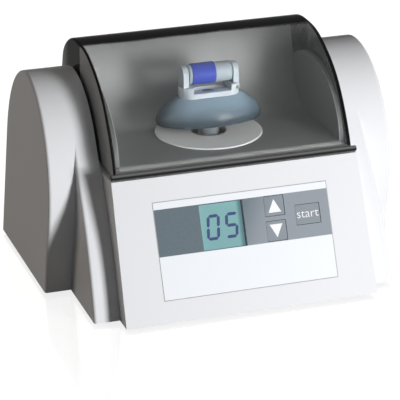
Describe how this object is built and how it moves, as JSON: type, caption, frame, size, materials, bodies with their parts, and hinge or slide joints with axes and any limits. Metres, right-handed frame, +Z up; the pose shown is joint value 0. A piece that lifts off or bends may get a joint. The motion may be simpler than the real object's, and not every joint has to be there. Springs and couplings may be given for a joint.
{
  "type": "dental amalgamator",
  "caption": "Bench-top dental capsule mixer: white casing with leaning control panel, smoky hinged hood and a motor-driven rocking capsule head.",
  "frame": {"origin": "under the middle of the casing, on the plane that the feet rest on", "axes": "+X to the right as the panel is read, +Y to the back, +Z up"},
  "size_m": [0.2522, 0.192, 0.1615],
  "materials": {
    "casing": "fine satin moulded white",
    "tray": "matt moulded grey",
    "rubber": "matt",
    "steel": "turned",
    "foil": "matt printed foil",
    "clear_pane": "clear",
    "display": "reflective liquid crystal",
    "switch_black": "fine texture",
    "board_green": "solder mask",
    "smoky_clear": "polished smoky acrylic",
    "smoky_bar": "polished",
    "nylon_white": "natural nylon",
    "liner": "satin moulded grey",
    "disc_pale": "satin",
    "zinc_steel": "zinc plated",
    "cast_alloy": "as cast",
    "copper_stack": "enamelled windings",
    "boot_blue_grey": "satin",
    "holder_white": "translucent white",
    "capsule_white": "glossy",
    "capsule_blue": "glossy royal blue",
    "brass_nickel": "nickel plated",
    "fuse_glass": "clear glass",
    "transformer_yellow": "taped",
    "capacitor_black": "sleeved",
    "key_grey": "matt printed"
  },
  "bodies": {
    "casing": {"upper_housing": "casing", "base_tray": "tray", "rubber_feet": "rubber", "housing_screws": "steel", "control_membrane": "foil", "lcd_window": "clear_pane", "lcd_module": "display", "key_switches": "switch_black", "control_board": "board_green", "board_screws": "steel", "lid_microswitch": "switch_black", "chamber_liner": "liner", "chamber_disc": "disc_pale", "motor_can": "zinc_steel", "motor_end_caps": "cast_alloy", "motor_bearings": "steel", "motor_stator": "copper_stack", "drive_frame": "cast_alloy", "guide_block": "nylon_white", "outboard_bearing": "steel", "motor_straps": "zinc_steel", "isolators": "rubber", "isolator_screws": "steel", "mains_inlet": "switch_black", "inlet_pins": "brass_nickel", "power_switch_frame": "switch_black", "power_board": "board_green", "transformer": "transformer_yellow", "capacitors": "capacitor_black"},
    "lid": {"lid_hood": "smoky_clear", "lid_grip_bar": "smoky_bar", "lid_hinge_pins": "steel", "lid_cam": "nylon_white"},
    "rotor": {"drive_shaft": "steel", "motor_rotor": "steel", "skew_sleeve": "steel", "counterweight": "zinc_steel", "hub_inner_races": "steel"},
    "arm": {"hub_outer_races": "steel", "hub_bearing_balls": "steel", "arm_hub": "cast_alloy", "guide_pin": "steel", "head_boot": "boot_blue_grey", "capsule_holder": "holder_white", "prong_pivot": "steel", "prong_spring": "steel", "capsule_body": "capsule_white", "capsule_band": "capsule_blue"},
    "prong": {"spring_prong": "holder_white"},
    "fuse_carrier": {"fuse_drawer": "switch_black", "fuses": "fuse_glass"},
    "rocker": {"power_rocker": "switch_black"},
    "up_button": {"up_key": "key_grey"},
    "down_button": {"down_key": "key_grey"},
    "start_button": {"start_key": "key_grey"}
  },
  "joints": [
    {"name": "lid_hinge", "type": "hinge", "parent": "casing", "child": "lid", "pos_m": [0, 0.068, 0.1085], "axis": [-1, 0, 0], "range_deg": [0, 100]},
    {"name": "rotor_spin", "type": "hinge", "parent": "casing", "child": "rotor", "pos_m": [0, 0.001, 0.0565], "axis": [1, 0, 0], "continuous": true},
    {"name": "arm_wobble", "type": "hinge", "parent": "rotor", "child": "arm", "pos_m": [0, 0.001, 0.0565], "axis": [0.9945, 0.1045, 0], "continuous": true},
    {"name": "prong_hinge", "type": "hinge", "parent": "arm", "child": "prong", "pos_m": [0.0184, 0.001, 0.1301], "axis": [0, 1, 0], "range_deg": [0, 12], "stiffness_Nm_per_rad": 0.05, "springref_deg": -5.73},
    {"name": "fuse_drawer_slide", "type": "slide", "parent": "casing", "child": "fuse_carrier", "axis": [0, 1, 0], "range_m": [0, 0.02]},
    {"name": "power_rocker_hinge", "type": "hinge", "parent": "casing", "child": "rocker", "pos_m": [0.018, 0.083, 0.033], "axis": [-1, 0, 0], "range_deg": [0, 16]},
    {"name": "up_press", "type": "slide", "parent": "casing", "child": "up_button", "axis": [0, 0.9161, -0.401], "range_m": [0, 0.0007], "stiffness_N_per_m": 400, "springref_m": -0.0005},
    {"name": "down_press", "type": "slide", "parent": "casing", "child": "down_button", "axis": [0, 0.9161, -0.401], "range_m": [0, 0.0007], "stiffness_N_per_m": 400, "springref_m": -0.0005},
    {"name": "start_press", "type": "slide", "parent": "casing", "child": "start_button", "axis": [0, 0.9161, -0.401], "range_m": [0, 0.0007], "stiffness_N_per_m": 400, "springref_m": -0.0005}
  ],
  "couplings": [
    {"joint": "arm_wobble", "follows": "rotor_spin", "ratio": -1}
  ]
}
